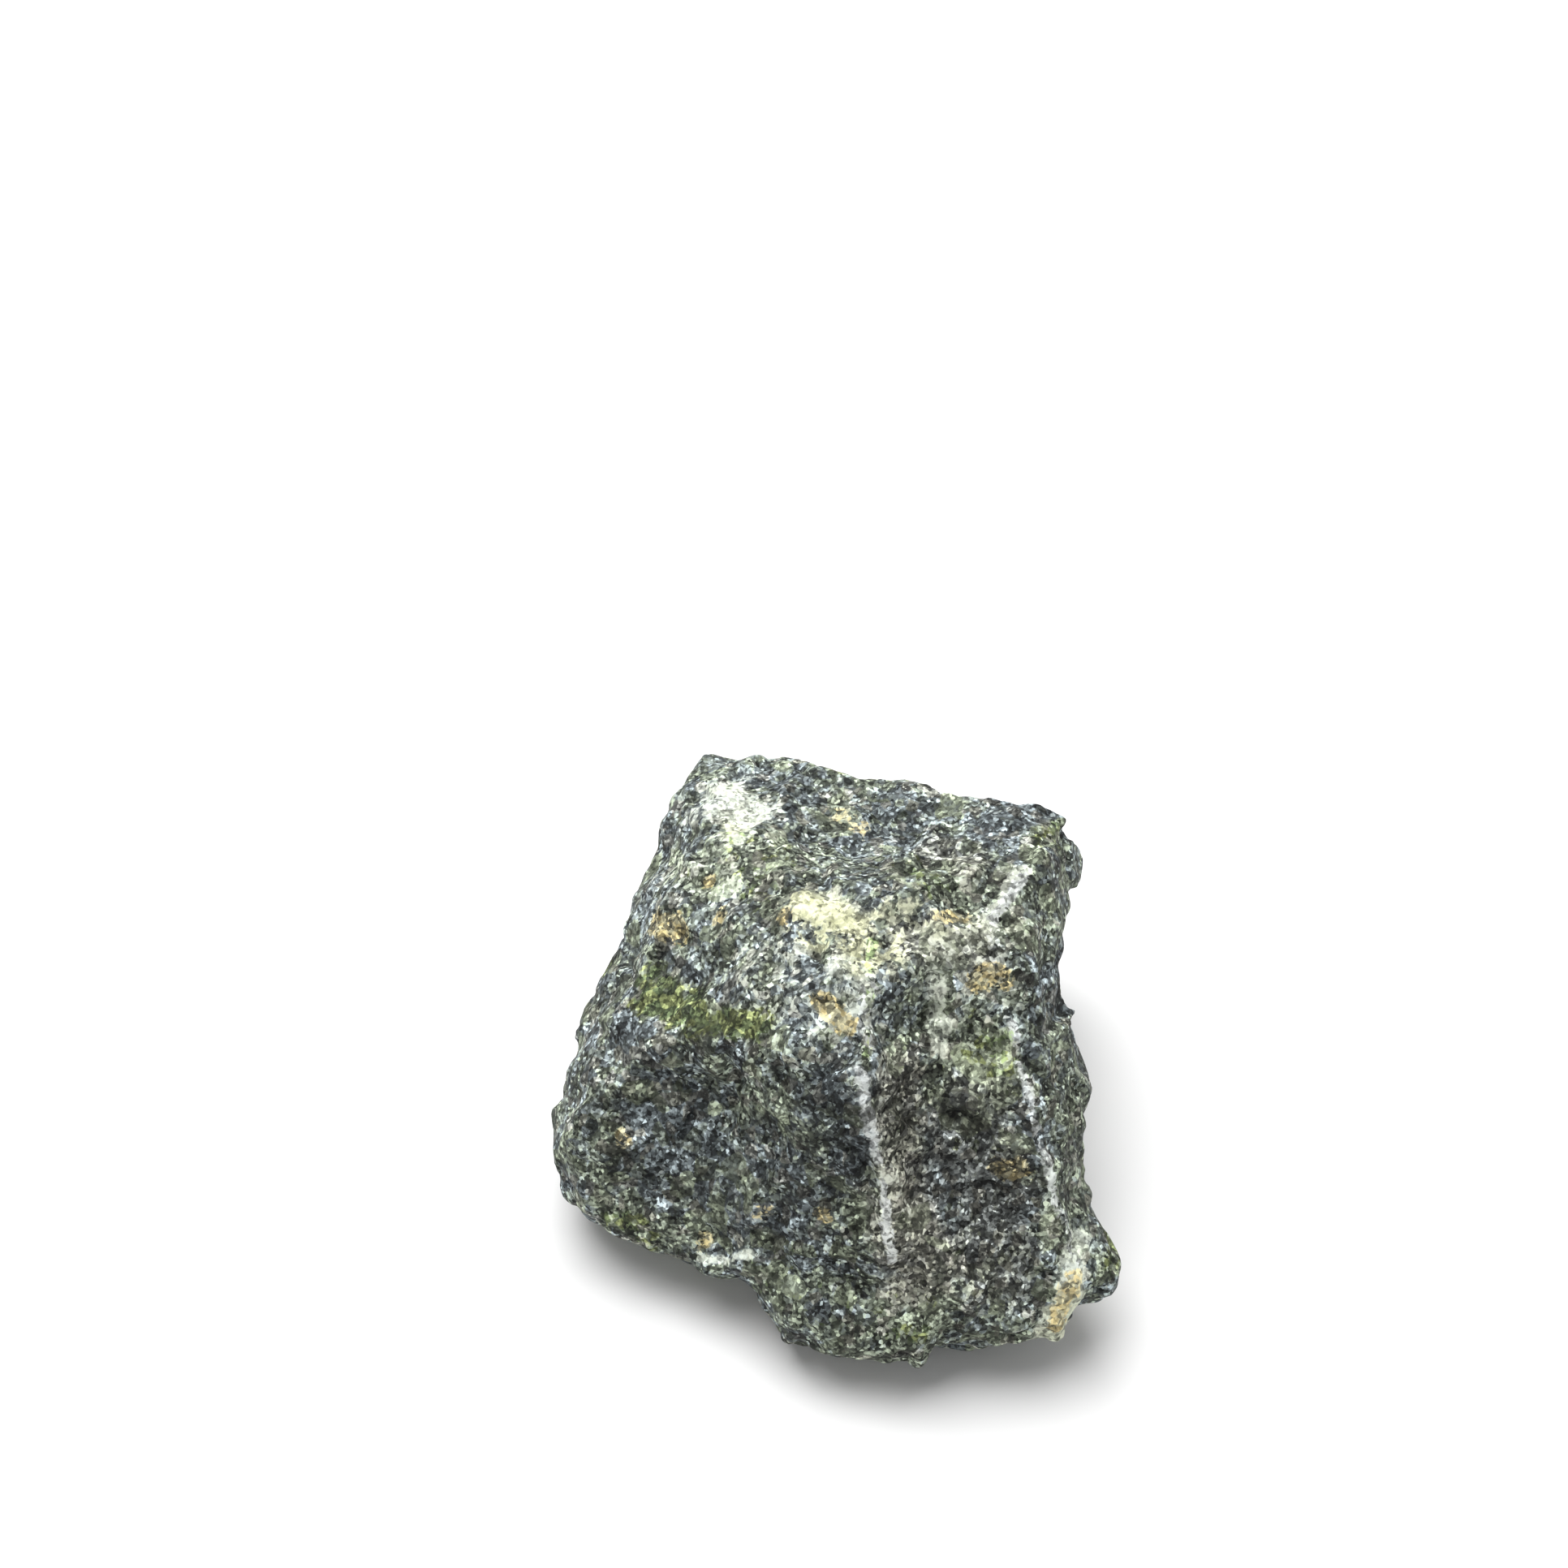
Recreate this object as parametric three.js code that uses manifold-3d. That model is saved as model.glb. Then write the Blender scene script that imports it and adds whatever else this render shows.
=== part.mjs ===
// A hand-sized chunk of raw jade rock: one solid, broken on every side, in millimetres with +Z up.
// It is the space inside a set of flat broken faces, hollowed by rounded scoops where flakes came
// away, roughened by a seeded fracture relief, and trimmed flat where it rests on the ground.
import * as THREE from 'three';
import { SimplexNoise } from 'three/addons/math/SimplexNoise.js';
import { mergeVertices } from 'three/addons/utils/BufferGeometryUtils.js';
import Module from 'manifold-3d';

// Point inside the stone that the faces are measured from, and that sees the whole surface.
const HEART = new THREE.Vector3(0, 0, 17);
// The skin is a ball of even triangles, with each edge of the icosahedron cut this many times.
const SKIN_CUTS = 22;
// How many times, and how strongly, the folds between the faces are rounded.
const FOLD_PASSES = 1;
const FOLD_SHARE = 0.4;
// The stone is trimmed at this height, which becomes the ground it rests on.
const REST_HEIGHT = 0;
const RELIEF_SEED = 41;
// Fracture relief: hump width and height of each layer of roughness.
const RELIEF_LAYERS = [
  { width: 12, height: 0.5 },
  { width: 6, height: 0.35 },
  { width: 2.6, height: 0.22 },
];

// Broken faces. "facing" is the compass direction each one looks in, in degrees from +X towards
// +Y; "lean" is how far it looks up (90 is level, 0 an upright wall, below 0 an overhang); and
// "distance" is how far it stands from the heart.
const faces = {
  upper: { facing: 110, lean: 72, distance: 21.8 },
  crest: { facing: -90, lean: 80, distance: 22 },
  brow: { facing: -90, lean: 66, distance: 22.2 },
  rightBrow: { facing: -35, lean: 70, distance: 23.8 },
  leftBrow: { facing: -161, lean: 51, distance: 19.5 },
  middleFront: { facing: -88, lean: 43, distance: 24.8 },
  leftFront: { facing: -114, lean: 25, distance: 20.3 },
  rightFront: { facing: -58, lean: 47, distance: 23 },
  lowFront: { facing: -88, lean: 27, distance: 24.3 },
  leftSlope: { facing: 173, lean: 35, distance: 22.4 },
  leftWall: { facing: 155, lean: 0, distance: 26 },
  leftCorner: { facing: 175, lean: 25, distance: 24.2 },
  leftEnd: { facing: 180, lean: -5, distance: 30 },
  leftToe: { facing: -135, lean: 10, distance: 27.8 },
  rightSide: { facing: -13, lean: 25, distance: 26.4 },
  rightWall: { facing: 0, lean: -5, distance: 26.2 },
  rightToe: { facing: -50, lean: 5, distance: 37.5 },
  backRight: { facing: 71, lean: 18, distance: 28.4 },
  backRightFoot: { facing: 75, lean: -15, distance: 28 },
  backCorner: { facing: 145, lean: 20, distance: 31.5 },
  backLeft: { facing: 112, lean: 3, distance: 34.7 },
  backLeftFoot: { facing: 112, lean: -20, distance: 31 },
  underLeftFront: { facing: -116, lean: -50, distance: 24.5 },
  underFront: { facing: -100, lean: -57, distance: 28 },
  underRightFront: { facing: -60, lean: -50, distance: 31.5 },
  underRight: { facing: 0, lean: -35, distance: 30.5 },
  underBack: { facing: 80, lean: -40, distance: 29 },
  underLeft: { facing: 165, lean: -35, distance: 27.5 },
  foot: { facing: 0, lean: -90, distance: 18.5 },
};

// Balls scooped out of the faces. A scoop with a second centre is a groove that runs to it.
const scoops = {
  saddleOfUpperFace: { centre: [2, 21, 50], end: [19, 17, 54], radius: 18 },
  leftHollow: { centre: [-20, -23.5, 30], end: [-19.5, -32.5, 20.5], radius: 16.3 },
  underLedge: { centre: [-14, -13, 24.5], radius: 4.8 },
  bite: { centre: [-10.5, -30, 3.5], radius: 7.8 },
  betweenRidges: { centre: [14, -16, 42.5], end: [16.5, -32, 27.5], radius: 13 },
  frontDip: { centre: [15, -37, 3], radius: 8.2 },
  rightNotch: { centre: [35, 5, 21.5], radius: 13 },
};
const BALLS_IN_A_GROOVE = 5;

// Balls left standing at the low front corners.
const knobs = {
  frontLobe: { centre: [-1.5, -25, 6.5], end: [3, -26, 6.5], radius: 5.5 },
  frontToe: { centre: [6.5, -28.6, 6.6], radius: 4 },
  rightCorner: { centre: [26.9, -23.6, 9.6], end: [24.6, -20, 13.5], radius: 3.5 },
};

// Repeatable random numbers, by the mulberry32 method.
function seededRandom(seed) {
  let state = seed >>> 0;
  return () => {
    state = (state + 0x6d2b79f5) >>> 0;
    let t = state;
    t = Math.imul(t ^ (t >>> 15), t | 1);
    t ^= t + Math.imul(t ^ (t >>> 7), t | 61);
    return ((t ^ (t >>> 14)) >>> 0) / 2 ** 32;
  };
}

// Unit vector that looks out of a face.
function outwardOf({ facing, lean }) {
  const turn = THREE.MathUtils.degToRad(facing);
  const rise = THREE.MathUtils.degToRad(lean);
  return new THREE.Vector3(
    Math.cos(rise) * Math.cos(turn),
    Math.cos(rise) * Math.sin(turn),
    Math.sin(rise),
  );
}

// The balls that make up a scoop, in an even row from its centre to its end.
function ballsOf({ centre, end, radius }) {
  const start = new THREE.Vector3(...centre);
  if (!end) return [{ centre: start, radius }];
  return Array.from({ length: BALLS_IN_A_GROOVE }, (_, i) => {
    const share = i / (BALLS_IN_A_GROOVE - 1);
    return { centre: start.clone().lerp(new THREE.Vector3(...end), share), radius };
  });
}

// Where a ray from the heart goes into a ball and comes out of it, or null where it misses.
function crossingsOf({ centre, radius }, direction) {
  const toCentre = centre.clone().sub(HEART);
  const along = toCentre.dot(direction);
  const spare = radius ** 2 - (toCentre.lengthSq() - along ** 2);
  if (along < 0 || spare < 0) return null;
  return { entry: along - Math.sqrt(spare), exit: along + Math.sqrt(spare) };
}

const scoopBalls = Object.values(scoops).flatMap(ballsOf);
const knobBalls = Object.values(knobs).flatMap(ballsOf);

// How far the stone reaches from the heart in a direction.
function reachOf(direction) {
  let reach = Infinity;
  for (const face of Object.values(faces)) {
    const slant = outwardOf(face).dot(direction);
    if (slant > 0) reach = Math.min(reach, face.distance / slant);
  }
  for (const ball of scoopBalls) {
    const crossings = crossingsOf(ball, direction);
    if (crossings) reach = Math.min(reach, crossings.entry);
  }
  for (const ball of knobBalls) {
    const crossings = crossingsOf(ball, direction);
    if (crossings) reach = Math.max(reach, crossings.exit);
  }
  return reach;
}

// For each vertex of an indexed geometry, the vertices it shares an edge with.
function neighboursOf(geometry) {
  const neighbours = Array.from({ length: geometry.attributes.position.count }, () => new Set());
  const index = geometry.index.array;
  for (let i = 0; i < index.length; i += 3) {
    for (let k = 0; k < 3; k++) {
      const from = index[i + k];
      const to = index[i + ((k + 1) % 3)];
      neighbours[from].add(to);
      neighbours[to].add(from);
    }
  }
  return neighbours;
}

// Rounds the folds: each point moves part of the way to the middle of its neighbours.
function roundFolds(points, neighbours) {
  return points.map((point, i) => {
    const middle = new THREE.Vector3();
    for (const j of neighbours[i]) middle.add(points[j]);
    return point.clone().lerp(middle.divideScalar(neighbours[i].size), FOLD_SHARE);
  });
}

// Height of the fracture relief at a point of the surface.
function reliefAt(noise, point) {
  let height = 0;
  for (const layer of RELIEF_LAYERS) {
    const { x, y, z } = point.clone().divideScalar(layer.width);
    height += layer.height * noise.noise3d(x, y, z);
  }
  return height;
}

// The whole surface of the stone, before its underside is trimmed.
function roughStone() {
  const ball = new THREE.IcosahedronGeometry(1, SKIN_CUTS);
  ball.deleteAttribute('normal');
  ball.deleteAttribute('uv');
  const geometry = mergeVertices(ball);
  const neighbours = neighboursOf(geometry);
  const position = geometry.attributes.position;
  let points = [];
  for (let i = 0; i < position.count; i++) {
    const direction = new THREE.Vector3().fromBufferAttribute(position, i).normalize();
    points.push(HEART.clone().addScaledVector(direction, reachOf(direction)));
  }
  for (let pass = 0; pass < FOLD_PASSES; pass++) points = roundFolds(points, neighbours);
  points.forEach((point, i) => position.setXYZ(i, point.x, point.y, point.z));
  geometry.computeVertexNormals();

  const noise = new SimplexNoise({ random: seededRandom(RELIEF_SEED) });
  const normal = new THREE.Vector3();
  points.forEach((point, i) => {
    normal.fromBufferAttribute(geometry.attributes.normal, i);
    const { x, y, z } = point.clone().addScaledVector(normal, reliefAt(noise, point));
    position.setXYZ(i, x, y, z);
  });
  return geometry;
}

const wasm = await Module();
wasm.setup();

// A closed geometry as a solid that can be joined or cut.
function solidOf(geometry) {
  return new wasm.Manifold(
    new wasm.Mesh({
      numProp: 3,
      vertProperties: new Float32Array(geometry.attributes.position.array),
      triVerts: new Uint32Array(geometry.index.array),
    }),
  );
}

// A solid as a geometry with face normals.
function geometryOf(solid) {
  const mesh = solid.getMesh();
  const geometry = new THREE.BufferGeometry();
  geometry.setAttribute('position', new THREE.BufferAttribute(mesh.vertProperties, 3));
  geometry.setIndex(new THREE.BufferAttribute(mesh.triVerts, 1));
  geometry.computeVertexNormals();
  return geometry;
}

// A block that takes away everything below the resting height.
function groundBlock() {
  const width = 200;
  const depth = 50;
  const block = new THREE.BoxGeometry(width, width, depth);
  block.deleteAttribute('normal');
  block.deleteAttribute('uv');
  block.translate(0, 0, REST_HEIGHT - depth / 2);
  return mergeVertices(block);
}

const stone = geometryOf(solidOf(roughStone()).subtract(solidOf(groundBlock())));
stone.computeBoundingBox();
const middle = stone.boundingBox.getCenter(new THREE.Vector3());
stone.translate(-middle.x, -middle.y, -REST_HEIGHT);

const material = new THREE.MeshStandardMaterial({ color: 0x5b6158, roughness: 0.8, metalness: 0 });
const mesh = new THREE.Mesh(stone, material);
mesh.name = 'jade_stone';

const part = new THREE.Group();
part.name = 'raw_jade_stone';
part.add(mesh);

export default part;
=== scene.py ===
"""Looks of the raw jade stone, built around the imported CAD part: surface, minerals, floor, light, camera."""

import math
import random
from types import SimpleNamespace

import bpy
import numpy as np
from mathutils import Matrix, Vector, noise


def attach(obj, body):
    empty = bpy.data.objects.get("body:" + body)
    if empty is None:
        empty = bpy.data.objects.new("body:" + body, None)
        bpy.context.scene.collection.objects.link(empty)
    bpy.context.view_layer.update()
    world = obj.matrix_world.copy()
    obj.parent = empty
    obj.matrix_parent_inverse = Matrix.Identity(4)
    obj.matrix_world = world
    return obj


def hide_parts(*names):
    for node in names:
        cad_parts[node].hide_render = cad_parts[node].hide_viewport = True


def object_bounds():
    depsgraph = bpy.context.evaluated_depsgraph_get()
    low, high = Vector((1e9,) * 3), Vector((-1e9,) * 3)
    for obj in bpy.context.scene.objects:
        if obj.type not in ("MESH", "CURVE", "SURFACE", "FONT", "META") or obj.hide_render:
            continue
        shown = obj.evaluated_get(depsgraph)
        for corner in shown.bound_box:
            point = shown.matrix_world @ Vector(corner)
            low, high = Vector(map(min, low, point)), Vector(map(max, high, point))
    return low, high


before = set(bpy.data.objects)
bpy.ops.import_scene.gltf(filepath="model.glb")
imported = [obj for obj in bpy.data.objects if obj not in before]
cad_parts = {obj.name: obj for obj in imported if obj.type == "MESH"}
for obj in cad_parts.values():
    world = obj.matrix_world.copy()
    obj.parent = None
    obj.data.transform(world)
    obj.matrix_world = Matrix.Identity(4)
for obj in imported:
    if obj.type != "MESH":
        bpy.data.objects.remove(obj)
cad_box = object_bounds()

MM = 0.001
SEED = 17

# Camera: a phone held over the sheet, looking down at the stone from the front.
CAMERA_PLACE = Vector((-4.9, -130.8, 215.7)) * MM
CAMERA_DOWN = math.radians(50)
LENS_MM = 50
SENSOR_MM = 36

# Surface mesh: the CAD solid remeshed this finely, then roughened.
GRAIN_MESH = 0.385 * MM
# The remeshed steps are smoothed away: each pass blurs the points, then takes the shrinkage back.
SMOOTH_PASSES = 12
SMOOTH_SHARE = 0.5
UNSHRINK_SHARE = -0.51
# The foot stays flat below the first height, and the relief fades in between the other two.
FOOT = 0.3 * MM
RELIEF_FROM = 0.2 * MM
RESTING_BAND = 1.5 * MM

# Relief in mm: broken steps of three sizes (width, step, tilt), and a crumbly skin (width, height).
BROKEN_STEPS = [(5.0, 0.40, 0.20), (2.4, 0.20, 0.13), (1.2, 0.09, 0.08)]
CRUMBLE = [(6.0, 0.30), (1.6, 0.13)]
# The borders of the steps are bent by a noise: its width, and how far it moves them, in mm.
STEP_BEND = (2.5, 0.5)
# How far the crushed lines stand out, in mm.
RIDGE_HEIGHT = 0.25
# How many times the borders between the steps are softened.
STEP_BLUR = 3
# How many times the outward directions are evened out, so that sharp corners grow no spikes.
NORMAL_BLUR = 20
# How much less the sharp corners are roughened than the flat faces.
CORNER_CALM = 4


def camera():
    data = bpy.data.cameras.new("camera")
    data.lens = LENS_MM
    data.sensor_width = SENSOR_MM
    data.clip_start = 0.01
    data.clip_end = 10
    seen_from = bpy.data.objects.new("camera", data)
    seen_from.location = CAMERA_PLACE
    seen_from.rotation_euler = (math.pi / 2 - CAMERA_DOWN, 0, 0)
    bpy.context.scene.collection.objects.link(seen_from)
    bpy.context.scene.camera = seen_from


# ---------------------------------------------------------------- surface


def points_of(mesh):
    flat = np.empty(len(mesh.vertices) * 3)
    mesh.vertices.foreach_get("co", flat)
    return flat.reshape(-1, 3)


def normals_of(mesh):
    flat = np.empty(len(mesh.vertices) * 3)
    mesh.vertex_normals.foreach_get("vector", flat)
    return flat.reshape(-1, 3)


def set_points(mesh, points):
    mesh.vertices.foreach_set("co", points.astype(np.float32).ravel())
    mesh.update()


def edges_of(mesh):
    flat = np.empty(len(mesh.edges) * 2, dtype=np.int64)
    mesh.edges.foreach_get("vertices", flat)
    return flat.reshape(-1, 2)


def spread(values, edges, passes, share=0.5):
    """Blurs per-vertex values: each pass moves them part of the way to their neighbours' mean."""
    count = np.bincount(edges.ravel(), minlength=len(values)).astype(float)
    values = values.copy()
    for _ in range(passes):
        total = np.zeros_like(values)
        for axis in range(values.shape[1]):
            total[:, axis] = np.bincount(edges[:, 0], values[edges[:, 1], axis], len(values))
            total[:, axis] += np.bincount(edges[:, 1], values[edges[:, 0], axis], len(values))
        values += share * (total / count[:, None] - values)
    return values


def smooth_step(values, low, high):
    share = np.clip((values - low) / (high - low), 0, 1)
    return share * share * (3 - 2 * share)


def remeshed_stone():
    """A fine, evenly spaced copy of the CAD stone."""
    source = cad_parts["jade_stone"]
    stone = bpy.data.objects.new("jade_surface", source.data.copy())
    bpy.context.scene.collection.objects.link(stone)
    stone.data.materials.clear()
    remesh = stone.modifiers.new("remesh", "REMESH")
    remesh.mode = "VOXEL"
    remesh.voxel_size = GRAIN_MESH
    remesh.use_smooth_shade = True
    bpy.context.view_layer.update()
    evaluated = stone.evaluated_get(bpy.context.evaluated_depsgraph_get())
    fine = bpy.data.meshes.new_from_object(evaluated)
    stone.modifiers.clear()
    stone.data = fine
    return stone


def noise_field(points, width, octaves, seed):
    """Fractal noise about zero, its largest lumps this many mm wide. Each seed gives another field."""
    shift = Vector((seed * 17.3, seed * -9.1, seed * 5.7))
    scale = 1 / (width * MM)
    return np.array([noise.fractal(Vector(p) * scale + shift, 1.0, 2.0, octaves) for p in points])


def broken_steps(points, width, step, tilt, seed):
    """Height in mm of a surface broken along crystals of this width, each at its own level and slope."""
    shift = Vector((seed * -7.7, seed * 3.9, seed * 11.1))
    scale = 1 / (width * MM)
    heights = np.empty(len(points))
    for index, point in enumerate(points):
        place = Vector(point) * scale + shift
        middle = noise.voronoi(place)[1][0]
        level = noise.cell_vector(middle * 97.0)
        slope = noise.cell_vector(middle * 61.0) - Vector((0.5, 0.5, 0.5))
        heights[index] = step * (level.x - 0.5) + 2 * tilt * width * slope.dot(place - middle)
    return heights


def roughened(points, normals, edges, ridges):
    """Moves the smooth stone's points out and in, except where it rests."""
    height = RIDGE_HEIGHT * ridges**2
    width, amount = STEP_BEND
    bend = np.stack([noise_field(points, width, 2, seed) for seed in (31, 32, 33)], axis=1)
    bend *= amount * MM
    for number, (width, step, tilt) in enumerate(BROKEN_STEPS):
        height += broken_steps(points + bend, width, step, tilt, SEED + number)
    for number, (width, amount) in enumerate(CRUMBLE):
        height += amount * noise_field(points, width, 3, SEED + 10 + number)
    height = spread(height[:, None], edges, STEP_BLUR)[:, 0]
    height *= MM * smooth_step(points[:, 2], RELIEF_FROM, RESTING_BAND)
    outward = spread(normals, edges, NORMAL_BLUR)
    flatness = np.linalg.norm(outward, axis=1)
    outward /= flatness[:, None]
    height *= flatness**CORNER_CALM
    moved = points + outward * height[:, None]
    moved[:, 2] = np.maximum(moved[:, 2], 0)
    return moved


# ---------------------------------------------------------------- mineral marks

# Each mark: width in mm, strength, and places along it. A place is (across, back) as fractions of
# the stone's box, seen from above: across runs left to right and back runs front to rear. The mark
# lies on the surface below its places. The front corners are at back 0, the crest at about 0.5.
# A place with a third fraction, for its height, is on a steep side that can't be seen from above.
MARKS = {
    "pale": [
        # chalk bruise behind the left shoulder, and its tail towards the crest
        (4.2, 0.9, [(0.31, 0.81), (0.35, 0.77)]),
        (2.2, 0.7, [(0.33, 0.71)]),
        # left shoulder, and the slope between it and the ledge
        (3.5, 0.3, [(0.20, 0.70), (0.32, 0.58)]),
        (4.5, 0.38, [(0.38, 0.43), (0.47, 0.36)]),
        # cream crest, and the white grains that run down from it
        (2.6, 0.95, [(0.47, 0.53), (0.53, 0.50)]),
        (3.4, 0.38, [(0.45, 0.48), (0.56, 0.45)]),
        (2.2, 0.5, [(0.53, 0.43), (0.54, 0.34)]),
        # pale band along the right half of the crest, and the streak from its end to the corner
        (2.8, 0.4, [(0.60, 0.50), (0.76, 0.48)]),
        (1.0, 1, [(0.76, 0.50), (0.83, 0.60)]),
        # pale skin below the right half of the crest
        (3.5, 0.28, [(0.64, 0.42), (0.76, 0.40)]),
        (1.2, 0.8, [(0.67, 0.41), (0.68, 0.34)]),
        # faint patch on the right of the upper face
        (2.6, 0.35, [(0.68, 0.67), (0.74, 0.62)]),
        # soft band down the middle ridge
        (3.0, 0.24, [(0.55, 0.42), (0.57, 0.25), (0.60, 0.12)]),
        # cream vein at the right foot
        (1.7, 1, [(0.915, 0.13), (0.90, 0.06, 0.31), (0.885, 0.045, 0.20)]),
        (0.8, 0.9, [(0.86, 0.05, 0.28), (0.86, 0.03, 0.20)]),
        # rim of the bite, lighter as a painted highlight where its edge catches the light, and the pale foot
        # to its right
        (0.6, 0.8, [(0.27, 0.16), (0.36, 0.14)]),
        (6.0, 0.12, [(0.68, 0.06), (0.80, 0.08)]),
    ],
    "crush": [
        # white line down the middle ridge, broken in two
        (0.9, 1, [(0.54, 0.26), (0.57, 0.18)]),
        (0.7, 1, [(0.58, 0.16), (0.60, 0.09)]),
        # thin line down the right ridge
        (0.9, 0.5, [(0.76, 0.47), (0.79, 0.38)]),
        (0.7, 0.9, [(0.80, 0.37), (0.84, 0.26), (0.88, 0.17)]),
        (0.6, 0.7, [(0.88, 0.17), (0.92, 0.11)]),
        # white edge of the streak to the back right-hand corner
        (0.7, 1, [(0.77, 0.51), (0.83, 0.59)]),
        # crumbled skin between the crest and the middle ridge
        (1.2, 0.7, [(0.56, 0.42), (0.55, 0.30)]),
    ],
    "yellow": [
        # crest, chalk bruise, pale band and foot vein, in that order
        (3.6, 1, [(0.45, 0.52), (0.57, 0.45)]),
        (2.0, 0.5, [(0.32, 0.73)]),
        (3.0, 0.6, [(0.60, 0.51), (0.70, 0.51)]),
        (2.2, 0.4, [(0.90, 0.06, 0.31), (0.885, 0.045, 0.20)]),
    ],
    "olive": [
        # lime to dark olive crystals along the ledge
        (2.8, 1, [(0.19, 0.48), (0.24, 0.43), (0.27, 0.40)]),
        (1.6, 1, [(0.30, 0.38), (0.38, 0.35)]),
        # slope between the chalk bruise and the crest
        (2.5, 0.35, [(0.35, 0.68), (0.38, 0.61)]),
        (0.6, 1, [(0.34, 0.575)]),
        # upper face, right of the middle, and the back right-hand corner
        (2.6, 0.5, [(0.63, 0.58), (0.70, 0.55)]),
        (1.6, 0.7, [(0.87, 0.68), (0.91, 0.72)]),
        # seam down from the crest
        (0.8, 0.7, [(0.57, 0.46), (0.56, 0.41)]),
        (0.5, 0.5, [(0.56, 0.38), (0.55, 0.27)]),
        # hollow between the ridges
        (2.6, 0.45, [(0.75, 0.36), (0.80, 0.33)]),
        (8.0, 0.15, [(0.70, 0.32), (0.74, 0.12)]),
        # green skin over the left shoulder, and along the front foot
        (7.0, 0.2, [(0.25, 0.62), (0.45, 0.60)]),
        (6.0, 0.2, [(0.42, 0.08), (0.62, 0.04)]),
        # round crystals at the left foot
        (0.9, 1, [(0.06, 0.25)]),
        (1.8, 0.8, [(0.13, 0.22), (0.17, 0.20)]),
        # foot of the middle ridge, and the right-hand knob
        (1.6, 0.5, [(0.62, 0.03), (0.66, 0.03)]),
        (1.4, 0.9, [(0.98, 0.13)]),
    ],
    "tan": [
        # left shoulder, and behind it
        (1.9, 0.9, [(0.19, 0.61), (0.23, 0.56)]),
        (1.2, 0.8, [(0.31, 0.55)]),
        (1.0, 0.9, [(0.28, 0.63)]),
        # left end of the crest, and below it
        (1.1, 0.9, [(0.42, 0.51)]),
        (1.4, 0.9, [(0.48, 0.36), (0.52, 0.33)]),
        # right half of the crest, and the hollow below it
        (1.1, 0.7, [(0.68, 0.50), (0.72, 0.51)]),
        (1.4, 0.8, [(0.74, 0.42), (0.78, 0.42)]),
        (1.2, 0.9, [(0.78, 0.21), (0.82, 0.21)]),
        # middle of the upper face
        (1.7, 0.5, [(0.51, 0.77), (0.56, 0.75)]),
        # low on the left
        (1.2, 0.8, [(0.28, 0.18)]),
        (1.3, 0.7, [(0.38, 0.17)]),
        (1.2, 0.8, [(0.48, 0.15)]),
        (1.2, 0.7, [(0.14, 0.30)]),
        # heart of the foot vein
        (1.2, 0.9, [(0.905, 0.09, 0.35), (0.895, 0.055, 0.31), (0.885, 0.045, 0.25)]),
        (0.7, 0.9, [(0.86, 0.04, 0.27)]),
    ],
    "brown": [
        # right flank of the middle ridge, and the hollow between the ridges
        (4.0, 0.7, [(0.60, 0.26), (0.64, 0.08)]),
        (5.0, 0.4, [(0.74, 0.28), (0.78, 0.10)]),
        # grey patch on the right of the upper face, and the right half of the crest
        (2.6, 0.6, [(0.68, 0.67), (0.74, 0.62)]),
        (2.6, 0.6, [(0.62, 0.47), (0.74, 0.46)]),
    ],
    "glass": [
        # smooth pale green crystals: behind the ledge, on the left shoulder, and low on the left
        (1.2, 1, [(0.30, 0.60), (0.33, 0.60)]),
        (0.9, 1, [(0.24, 0.68)]),
        (0.8, 0.9, [(0.40, 0.63)]),
        (1.0, 1, [(0.12, 0.22)]),
        (1.0, 1, [(0.25, 0.25)]),
        (0.9, 1, [(0.30, 0.33)]),
        (1.1, 1, [(0.42, 0.10), (0.44, 0.09)]),
        # hollow between the ridges
        (1.3, 0.9, [(0.71, 0.34), (0.74, 0.32)]),
        (1.0, 0.9, [(0.79, 0.36), (0.79, 0.33)]),
    ],
    "dark": [
        # hollow under the ledge, as painted shade, and the blue-black face below it
        (2.4, 0.9, [(0.27, 0.37), (0.32, 0.35)]),
        (3.6, 0.8, [(0.48, 0.24), (0.52, 0.19)]),
        (8.0, 0.45, [(0.25, 0.28), (0.42, 0.18)]),
        # hollow between the ridges and the right wall, both as painted shade, then the left slope, and beside
        # the middle ridge
        (5.0, 0.8, [(0.70, 0.25), (0.76, 0.16)]),
        (4.0, 0.8, [(0.96, 0.50), (0.97, 0.25)]),
        (4.5, 0.35, [(0.10, 0.52), (0.14, 0.42)]),
        (2.0, 0.6, [(0.62, 0.28), (0.64, 0.23)]),
        # beside the white streak, and along the back rim
        (2.2, 0.5, [(0.92, 0.60), (0.91, 0.48)]),
        (1.6, 0.6, [(0.83, 0.46), (0.85, 0.41)]),
        (2.5, 0.4, [(0.80, 0.69), (0.89, 0.75)]),
    ],
}

# In how many steps a mark's line follows the surface from one place to the next.
STEPS_ALONG = 5
# A mark is whole within the first share of its width from its line, and gone beyond the second.
MARK_FADE = (0.45, 1.35)
# Noises that make the marks' outlines ragged: width in mm, octaves, seed, and share of the width.
RAGGED = [(2.0, 3, 51, 0.45), (5.0, 2, 52, 0.3)]
# Over how many passes a point is compared with the surface around it, to find the worn edges, and the hollows
# that get dirt and painted shade.
WEAR_AND_SHADE_PASSES = 30

# Marks strewn over the faces that the camera doesn't see: how many, and the range of widths in mm.
STREWN = {
    "pale": (14, 1.0, 3.5),
    "yellow": (8, 1.5, 3.0),
    "olive": (24, 1.0, 3.2),
    "tan": (30, 0.6, 1.8),
    "dark": (12, 2, 5),
}
# The least and most length in mm, and the least and most strength, of a strewn mark.
STREWN_LENGTH = (0.5, 3)
STREWN_STRENGTH = (0.4, 1)


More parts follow.
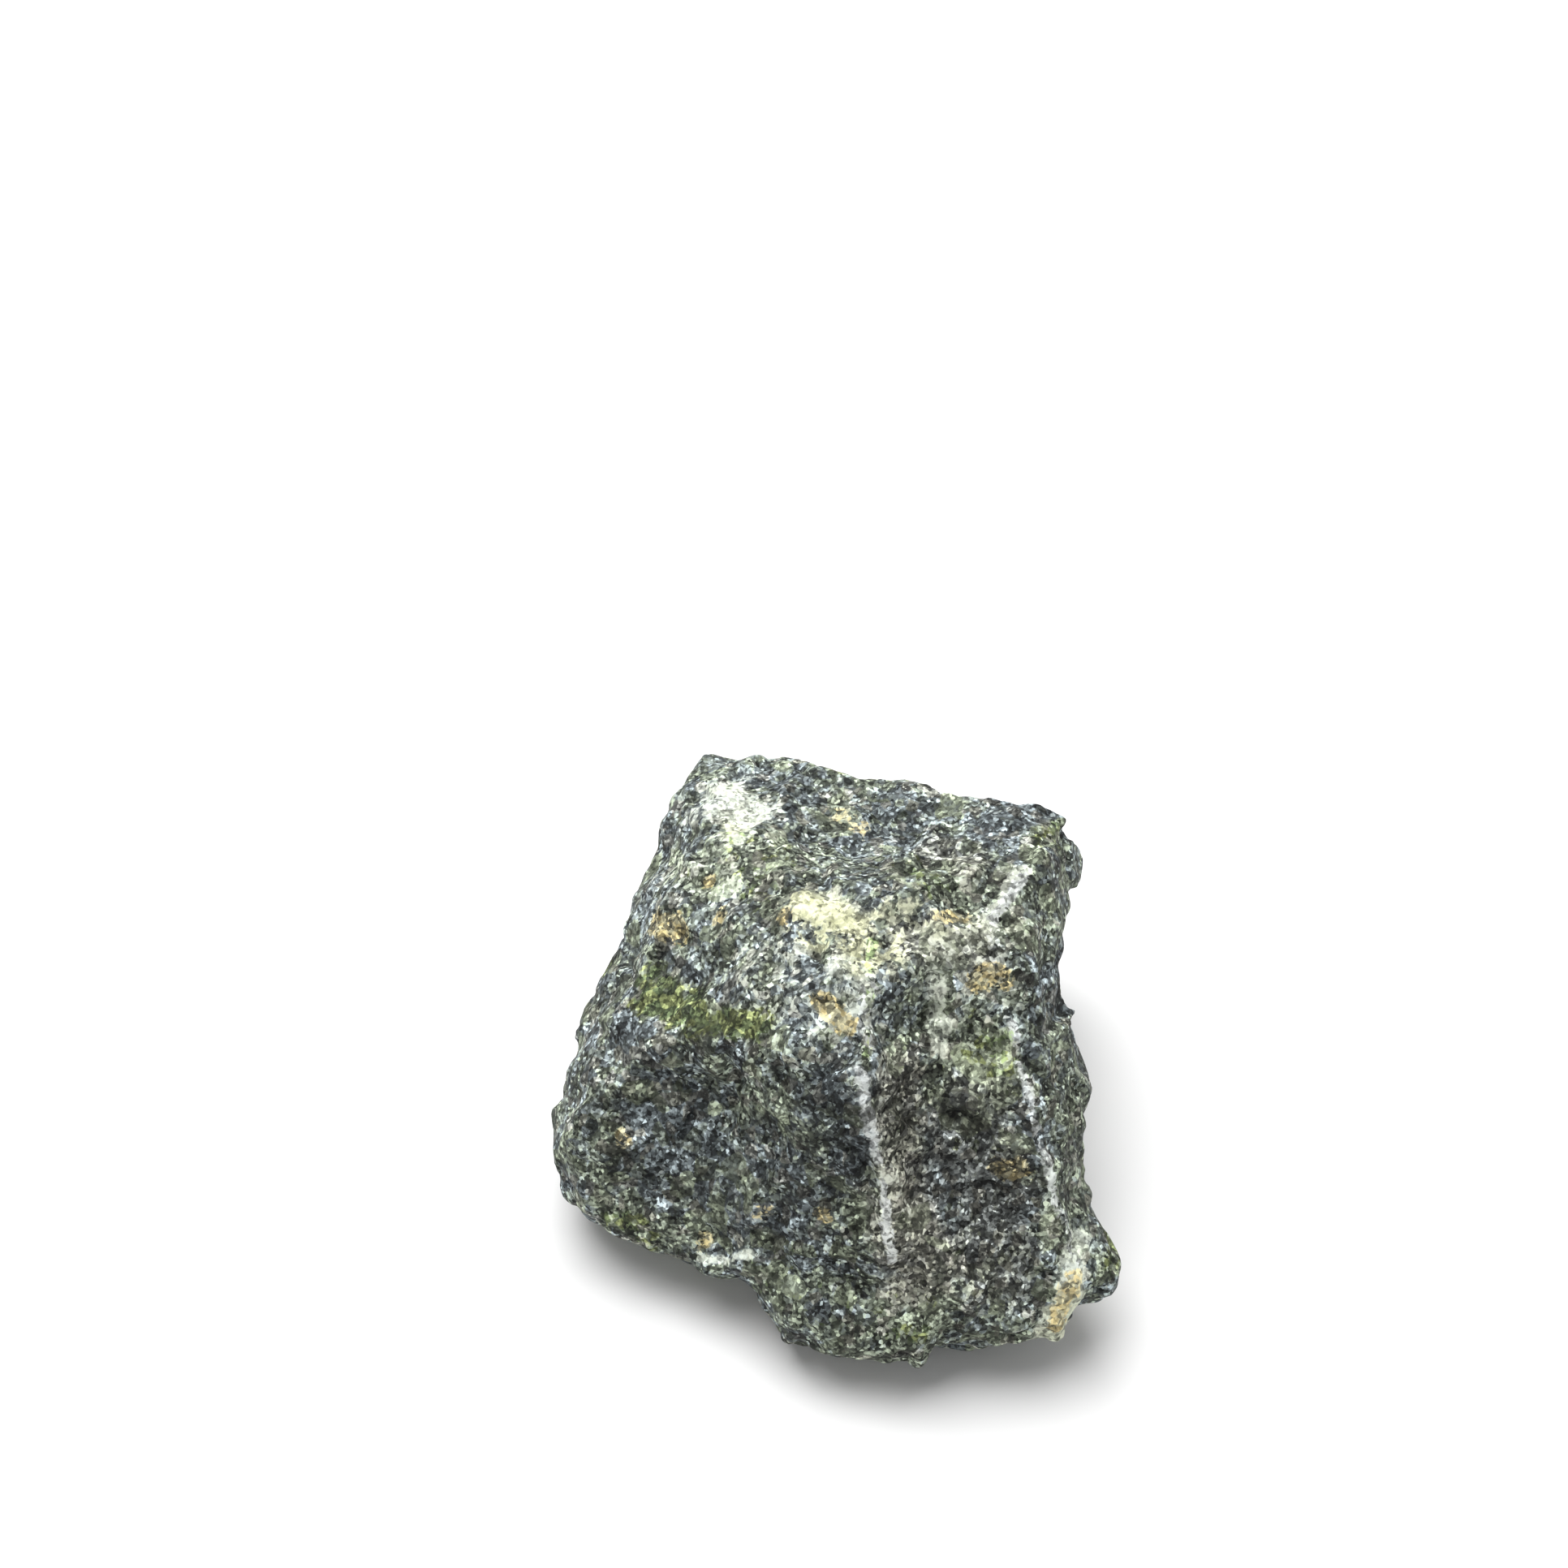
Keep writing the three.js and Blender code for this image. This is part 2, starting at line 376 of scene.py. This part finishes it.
def on_stone(stone, across, back, up=None):
    """The point at these fractions of the stone's box, or without "up" the surface point there."""
    low, high = (np.array(corner) for corner in cad_box)
    above_all = 1.25
    fractions = np.array((across, back, above_all if up is None else up))
    place = low + fractions * (high - low)
    if up is not None:
        return place
    found, below, _, _ = stone.ray_cast(Vector(place), Vector((0, 0, -1)))
    return np.array(below if found else place)


def line_on(stone, places):
    """The places as points, with more dropped on the surface between them, so that the line follows it."""
    line = [on_stone(stone, *places[0])]
    for start, end in zip(places, places[1:]):
        if len(start) == len(end) == 2:
            for share in np.linspace(0, 1, STEPS_ALONG + 1)[1:-1]:
                between = (1 - share) * np.array(start) + share * np.array(end)
                line.append(on_stone(stone, *between))
        line.append(on_stone(stone, *end))
    return line


def distance_to(points, line):
    """Distance of each point to a line of places, or to the one place."""
    if len(line) == 1:
        return np.linalg.norm(points - line[0], axis=1)
    nearest = np.full(len(points), np.inf)
    for start, end in zip(line, line[1:]):
        run = end - start
        share = np.clip((points - start) @ run / (run @ run), 0, 1)
        nearest = np.minimum(nearest, np.linalg.norm(points - start - share[:, None] * run, axis=1))
    return nearest


def strewn_marks(points, normals, kind):
    """Seeded marks on the faces turned away from the camera."""
    count, least, most = STREWN[kind]
    draw = random.Random(f"{SEED} {kind}")
    towards = Vector((0, -math.cos(CAMERA_DOWN), math.sin(CAMERA_DOWN)))
    hidden = np.flatnonzero(normals @ np.array(towards) < 0)
    for _ in range(count):
        place = points[draw.choice(hidden)]
        run = np.array([draw.uniform(-1, 1) for _ in range(3)])
        run *= draw.uniform(*STREWN_LENGTH) * MM
        yield draw.uniform(least, most), draw.uniform(*STREWN_STRENGTH), [place, place + run]


def mark_amounts(stone, points, normals):
    """For each kind of mark, how much of it each point of the surface holds."""
    ragged = sum(share * noise_field(points, width, octaves, seed) for width, octaves, seed, share in RAGGED)
    amounts = {}
    for kind, rows in MARKS.items():
        marks = [(width, strength, line_on(stone, places)) for width, strength, places in rows]
        if kind in STREWN:
            marks += strewn_marks(points, normals, kind)
        clear = np.ones(len(points))
        for width, strength, line in marks:
            reach = distance_to(points, line) / (width * MM) + ragged
            clear *= 1 - strength * (1 - smooth_step(reach, *MARK_FADE))
        amounts[kind] = 1 - clear
    return amounts


def standing_out(points, normals, edges):
    """How far each point stands out of the surface around it, in mm: edges above zero, hollows below."""
    return np.einsum("ij,ij->i", normals, points - spread(points, edges, WEAR_AND_SHADE_PASSES)) / MM


def write_amounts(mesh, amounts):
    for name, values in amounts.items():
        layer = mesh.attributes.new(name, "FLOAT", "POINT")
        layer.data.foreach_set("value", values.astype(np.float32))


# ---------------------------------------------------------------- stone shader


class Wiring:
    """Adds nodes to one material. An input may be a number, a colour or another node's output."""

    def __init__(self, material):
        self.tree = material.node_tree

    def node(self, kind, inputs=(), **settings):
        made = self.tree.nodes.new(kind)
        for name, value in settings.items():
            setattr(made, name, value)
        for socket, value in dict(inputs).items():
            if isinstance(value, bpy.types.NodeSocket):
                self.tree.links.new(value, made.inputs[socket])
            else:
                made.inputs[socket].default_value = value
        return made

    def math(self, operation, *values):
        return self.node("ShaderNodeMath", enumerate(values), operation=operation).outputs[0]

    def vector(self, operation, *values):
        return self.node("ShaderNodeVectorMath", enumerate(values), operation=operation).outputs

    def plus(self, first, second):
        return self.math("ADD", first, second)

    def times(self, first, second):
        return self.math("MULTIPLY", first, second)

    def weighed(self, terms):
        """The sum of (value, weight) pairs."""
        total = 0.0
        for value, weight in terms:
            total = self.math("MULTIPLY_ADD", value, weight, total)
        return total

    def centred(self, value):
        """A random number from 0 to 1, moved to be about zero."""
        return self.math("SUBTRACT", value, 0.5)

    def step(self, value, low, high):
        """0 below the low value, 1 above the high one, and smooth in between."""
        inputs = {"Value": value, "From Min": low, "From Max": high}
        return self.node("ShaderNodeMapRange", inputs, interpolation_type="SMOOTHSTEP").outputs[0]

    def mix(self, share, first, second, blend="MIX"):
        inputs = {0: share, 6: first, 7: second}
        return self.node("ShaderNodeMix", inputs, data_type="RGBA", blend_type=blend).outputs[2]

    def amount(self, name):
        """How much of a mark the surface holds here."""
        return self.node("ShaderNodeAttribute", attribute_name=name).outputs["Fac"]

    def noise(self, place, width, detail=2.0, rough=0.5):
        """Noise with lumps this many mm wide."""
        inputs = {"Vector": place, "Scale": 1 / (width * MM), "Detail": detail, "Roughness": rough}
        return self.node("ShaderNodeTexNoise", inputs).outputs

    def shifted(self, place, by, amount):
        """The place moved by a colour noise, up to this many mm."""
        middle = self.vector("SUBTRACT", by, MIDDLE_GREY)[0]
        return self.vector("MULTIPLY_ADD", middle, (2 * amount * MM,) * 3, place)[0]


class Grains:
    """Grains of one width in mm. Indexes 0 to 2 give three random numbers for each grain."""

    def __init__(self, wire, place, width):
        self.wire = wire
        self.place = place
        self.width = width
        inputs = {"Vector": place, "Scale": 1 / (width * MM)}
        self.cells = wire.node("ShaderNodeTexVoronoi", inputs).outputs
        self.numbers = wire.node("ShaderNodeSeparateColor", {0: self.cells["Color"]}).outputs

    def __getitem__(self, number):
        return self.numbers[number]

    def tilt(self):
        """Height of a flat face that leans its own way in each grain, in grain widths."""
        away = self.wire.vector("SUBTRACT", self.place, self.cells["Position"])[0]
        lean = self.wire.vector("SUBTRACT", self.cells["Color"], MIDDLE_GREY)[0]
        slope = self.wire.vector("DOT_PRODUCT", away, lean)["Value"]
        return self.wire.times(slope, 1 / (self.width * MM))


MIDDLE_GREY = (0.5, 0.5, 0.5)

# Grain widths in mm, and noises that bend the borders of the two smaller sizes and tear those of
# the two larger ones: width, detail, and how far they move the borders, in mm.
FINE_GRAIN = 0.34
MID_GRAIN = 0.62
COARSE_GRAIN = 1.15
CRYSTAL = 2.3
BEND = (0.7, 0.0, 0.05)
TEAR = (1.4, 1.5, 0.15)
# Widths in mm of the clouds in the tone and the regions in the hue.
CLOUD_WIDTH = 7.0
REGION_WIDTH = 14.0

# Marks take whole grains. A mark's amount is strayed by the grains' random numbers, listed as grain
# size, number and weight. A grain then holds none of the mark below the first value and is all mark
# above the second.
SHARES = {
    "pale": (0.15, 0.75, [("mid", 1, 0.45), ("coarse", 1, 0.35), ("fine", 1, 0.30)]),
    "crush": (0.50, 0.90, [("mid", 2, 0.50), ("fine", 1, 0.35)]),
    "olive": (0.50, 0.80, [("coarse", 2, 0.60), ("mid", 2, 0.45), ("fine", 1, 0.20)]),
    "tan": (0.42, 0.72, [("mid", 0, 0.35), ("coarse", 0, 0.45), ("fine", 2, 0.20)]),
    "glass": (0.35, 0.55, [("mid", 2, 0.20)]),
    "worn": (0.10, 0.55, [("mid", 1, 0.50)]),
    # hollows, darkened partly as dirt and partly as painted shade
    "hollow_dirt_and_shade": (0.10, 0.50, [("mid", 1, 0.30)]),
}

# Tone is the natural log of the reflectance. The first value is the median tone, and the second the
# reflectance that the brightest grains come near to. The third is how sharply they level off there.
MEDIAN_TONE = math.log(0.085)
WHITEST = 0.85
LEVEL_OFF = 3.0
# What each mineral, kind of wear and painted shade adds to the tone of a grain that is all of it.
TONES = {
    "white": 1.90,
    "worn": 0.30,
    "hollow_dirt_and_shade": -0.50,
    # hollows, darkened partly as dirt and partly as painted shade
    "glassy": 0.35,
    "glass": 0.70,
    "olive": -0.12,
    # darker stone, with painted shade in the hollows and down the right wall
    "tan": 0.60,
    "dark": -0.70,
}
# The small grains' contrast in plain stone, what changes it, and the least that is left.
PLAIN_CONTRAST = 1.15
LEAST_CONTRAST = 0.5
CONTRASTS = {"white": -0.38, "olive": -0.20, "sleek": -0.40, "glassy": -0.30}

# Tints, each about 1 in brightness.
BLUE_GREY = (0.87, 1.02, 1.07, 1)
GREY_GREEN = (0.90, 1.03, 0.78, 1)
# tint of the pale marks: chalk, and the painted highlight on the rim of the bite
CHALK_AND_HIGHLIGHT = (0.96, 1.02, 0.87, 1)
CRUSHED = (0.97, 1.01, 1.0, 1)
BUTTER = (1.0, 1.02, 0.67, 1)
OLIVE = (0.92, 1.06, 0.40, 1)
GLASS = (0.92, 1.05, 0.72, 1)
MOSS = (0.82, 1.10, 0.50, 1)
BROWN_GREY = (1.04, 1.0, 0.84, 1)
TAN = (1.08, 1.0, 0.62, 1)
RUST = (1.20, 0.97, 0.44, 1)

BUMP_HEIGHT = 0.20 * MM
# Roughness of a dull grain, and how much smoother the shiny ones are.
DULL = 0.75
SHINE = 0.35
SPECULAR = 0.2


def grain_sizes(wire, place):
    """The grains of each size, by name."""
    width, detail, amount = BEND
    bent = wire.shifted(place, wire.noise(place, width, detail)["Color"], amount)
    width, detail, amount = TEAR
    torn = wire.shifted(place, wire.noise(place, width, detail)["Color"], amount)
    return SimpleNamespace(
        fine=Grains(wire, bent, FINE_GRAIN),
        mid=Grains(wire, bent, MID_GRAIN),
        coarse=Grains(wire, torn, COARSE_GRAIN),
        crystal=Grains(wire, torn, CRYSTAL),
    )


def mineral_shares(wire, grains):
    """By name, how much of each mineral, tint, kind of wear and painted shade there is in each grain."""
    amounts = {name: wire.amount(name) for name in (*MARKS, "worn")}
    # Hollows are the stand-out measure turned over, darkened partly as dirt and partly as painted shade.
    amounts["hollow_dirt_and_shade"] = wire.times(amounts["worn"], -1.0)
    shares = {name: amounts[name] for name in ("yellow", "brown", "dark")}
    for name, (low, high, strays) in SHARES.items():
        terms = [(amounts[name], 1.0)]
        for size, number, weight in strays:
            terms.append((wire.centred(getattr(grains, size)[number]), weight))
        shares[name] = wire.step(wire.weighed(terms), low, high)
    shares["green"] = amounts["olive"]

    # White is chalk or crushed stone, and there is less of it among the rust.
    white = wire.math("MAXIMUM", shares["pale"], wire.times(shares["crush"], 0.9))
    white = wire.times(white, wire.math("MULTIPLY_ADD", shares["tan"], -0.6, 1.0))
    # Glassy crystals are strewn through all but the white, besides the listed ones.
    glassy = wire.times(wire.step(grains.crystal[1], 0.82, 0.88), wire.math("SUBTRACT", 1.0, white))
    shares["white"] = white
    shares["glassy"] = wire.math("MAXIMUM", glassy, wire.times(shares["glass"], 1.5))
    return shares


def brightness_of(wire, place, grains, shares):
    """Reflectance of each grain."""
    fine, mid, coarse, crystal = grains.fine, grains.mid, grains.coarse, grains.crystal
    # Some crystals are sleek, with little contrast between the small grains in them.
    sleek = wire.step(wire.weighed([(coarse[1], 0.5), (crystal[2], 0.5)]), 0.42, 0.80)
    shares = {**shares, "sleek": sleek}
    contrast = wire.weighed([(shares[name], weight) for name, weight in CONTRASTS.items()])
    contrast = wire.math("MAXIMUM", wire.plus(contrast, PLAIN_CONTRAST), LEAST_CONTRAST)
    # The small grains stray both ways, and a few of each size are bright specks.
    small = wire.weighed(
        [
            (wire.centred(fine[0]), 2.4),
            (wire.centred(mid[0]), 1.5),
            (wire.step(fine[2], 0.84, 0.92), 1.2),
            (wire.step(mid[1], 0.92, 0.96), 0.8),
        ]
    )
    cloud = wire.noise(place, CLOUD_WIDTH, 3.0, 0.6)["Fac"]
    strays = [
        (wire.times(small, contrast), 1.0),
        (wire.centred(coarse[0]), 1.0),
        (wire.centred(crystal[0]), 0.8),
        (wire.centred(cloud), 0.7),
    ]
    tone = wire.weighed(strays + [(shares[name], weight) for name, weight in TONES.items()])
    plain = wire.math("EXPONENT", wire.plus(tone, MEDIAN_TONE))
    excess = wire.plus(wire.math("POWER", wire.times(plain, 1 / WHITEST), LEVEL_OFF), 1.0)
    return wire.times(plain, wire.math("POWER", excess, -1 / LEVEL_OFF))


def tint_of(wire, place, grains, shares):
    """Tint of each grain: blue-grey to green stone, with each mineral's own tint mixed over it."""
    fine, mid, coarse, crystal = grains.fine, grains.mid, grains.coarse, grains.crystal
    region = wire.noise(place, REGION_WIDTH)["Fac"]
    hue = wire.weighed(
        [
            (region, 1.6),
            (mid[2], 0.3),
            (coarse[2], 0.5),
            (crystal[1], 0.5),
            (shares["green"], 1.2),
            (shares["dark"], -0.4),
        ]
    )
    mossy_or_olive = wire.mix(wire.step(coarse[0], 0.3, 0.7), MOSS, OLIVE)
    warmth = wire.weighed([(mid[2], 0.6), (fine[0], 0.4)])
    tan_or_rust = wire.mix(wire.step(warmth, 0.35, 0.75), TAN, RUST)
    tint = wire.mix(wire.step(hue, 1.10, 1.75), BLUE_GREY, GREY_GREEN)
    for share, over in [
        (wire.times(wire.step(coarse[1], 0.78, 0.86), 0.6), BROWN_GREY),
        (shares["brown"], BROWN_GREY),
        (wire.times(shares["glassy"], 0.5), GLASS),
        (wire.times(shares["pale"], 0.8), CHALK_AND_HIGHLIGHT),
        (wire.times(shares["crush"], 0.8), CRUSHED),
        (wire.times(shares["white"], shares["yellow"]), BUTTER),
        (wire.times(shares["olive"], 0.85), mossy_or_olive),
        (wire.times(shares["tan"], 0.85), tan_or_rust),
    ]:
        tint = wire.mix(share, tint, over)
    return tint


def bump_of(wire, grains):
    """Grains at their own heights, the larger ones leaning their own way."""
    height = wire.weighed(
        [
            (wire.centred(grains.fine[0]), 0.12),
            (wire.centred(grains.mid[0]), 0.40),
            (grains.mid.tilt(), 1.0),
            (grains.coarse.tilt(), 2.2),
            (grains.crystal.tilt(), 3.0),
        ]
    )
    inputs = {"Height": height, "Distance": BUMP_HEIGHT, "Strength": 1.0}
    return wire.node("ShaderNodeBump", inputs).outputs[0]


def jade():
    material = bpy.data.materials.new("jade")
    material.use_nodes = True
    wire = Wiring(material)
    place = wire.node("ShaderNodeTexCoord").outputs["Object"]
    grains = grain_sizes(wire, place)
    shares = mineral_shares(wire, grains)
    brightness = brightness_of(wire, place, grains, shares)
    grey = wire.node("ShaderNodeCombineColor", {channel: brightness for channel in range(3)}).outputs[0]
    colour = wire.mix(1.0, tint_of(wire, place, grains, shares), grey, "MULTIPLY")
    shiny = wire.step(grains.mid[1], 0.75, 0.95)
    roughness = wire.math("MULTIPLY_ADD", shiny, -SHINE, DULL)

    shader = material.node_tree.nodes["Principled BSDF"]
    join = material.node_tree.links.new
    join(colour, shader.inputs["Base Color"])
    join(roughness, shader.inputs["Roughness"])
    join(bump_of(wire, grains), shader.inputs["Normal"])
    shader.inputs["Specular IOR Level"].default_value = SPECULAR
    return material


def bake_map(stone):
    """A UV map on the smooth stone, so that its islands are few and large."""
    for other in bpy.context.selected_objects:
        other.select_set(False)
    stone.select_set(True)
    bpy.context.view_layer.objects.active = stone
    stone.data.uv_layers.new(name="OFBake")
    bpy.ops.object.mode_set(mode="EDIT")
    bpy.ops.mesh.select_all(action="SELECT")
    bpy.ops.uv.smart_project(angle_limit=math.radians(75), island_margin=0.004)
    bpy.ops.object.mode_set(mode="OBJECT")


def jade_surface():
    stone = remeshed_stone()
    mesh = stone.data
    edges = edges_of(mesh)
    points = points_of(mesh)
    smooth = points
    for _ in range(SMOOTH_PASSES):
        smooth = spread(smooth, edges, 1, SMOOTH_SHARE)
        smooth = spread(smooth, edges, 1, UNSHRINK_SHARE)
    smooth = spread(smooth, edges, 1)
    smooth[:, 2] = np.where(points[:, 2] < FOOT, points[:, 2], smooth[:, 2])
    set_points(mesh, smooth)
    bake_map(stone)
    normals = normals_of(mesh)
    amounts = mark_amounts(stone, smooth, normals)
    rough = roughened(smooth, normals, edges, amounts["crush"])
    set_points(mesh, rough)
    # How far each point stands out: worn edges above zero, and below zero the hollows that get dirt and
    # painted shade.
    amounts["worn"] = standing_out(rough, normals, edges)
    write_amounts(mesh, amounts)
    mesh.materials.append(jade())
    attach(stone, "root")
    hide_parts("jade_stone")


# ---------------------------------------------------------------- set

# The floor's half width in m and how white it is, and how bright the room is.
FLOOR_HALF = 3.0
FLOOR_WHITE = 0.76
ROOM_LIGHT = 0.43


def floor():
    mesh = bpy.data.meshes.new("floor")
    half = FLOOR_HALF
    corners = [(-half, -half, 0), (half, -half, 0), (half, half, 0), (-half, half, 0)]
    mesh.from_pydata(corners, [], [(0, 1, 2, 3)])
    sheet = bpy.data.objects.new("floor", mesh)
    bpy.context.scene.collection.objects.link(sheet)
    paper = bpy.data.materials.new("floor")
    paper.use_nodes = True
    shader = paper.node_tree.nodes["Principled BSDF"]
    shader.inputs["Base Color"].default_value = (FLOOR_WHITE, FLOOR_WHITE, FLOOR_WHITE, 1)
    shader.inputs["Roughness"].default_value = 0.9
    mesh.materials.append(paper)


def soft_light(name, place, target, size, watts):
    data = bpy.data.lights.new(name, "AREA")
    data.shape = "SQUARE"
    data.size = size
    data.energy = watts
    lamp = bpy.data.objects.new(name, data)
    lamp.location = place
    lamp.rotation_euler = (Vector(target) - Vector(place)).to_track_quat("-Z", "Y").to_euler()
    bpy.context.scene.collection.objects.link(lamp)


def lighting():
    world = bpy.data.worlds.new("room")
    world.use_nodes = True
    world.node_tree.nodes["Background"].inputs["Color"].default_value = (1, 1, 1, 1)
    world.node_tree.nodes["Background"].inputs["Strength"].default_value = ROOM_LIGHT
    bpy.context.scene.world = world
    soft_light("window", place=(-0.13, 0.28, 0.83), target=(0, 0, 0.02), size=0.75, watts=13)
    bpy.context.scene.view_settings.view_transform = "Standard"


jade_surface()
camera()
floor()
lighting()
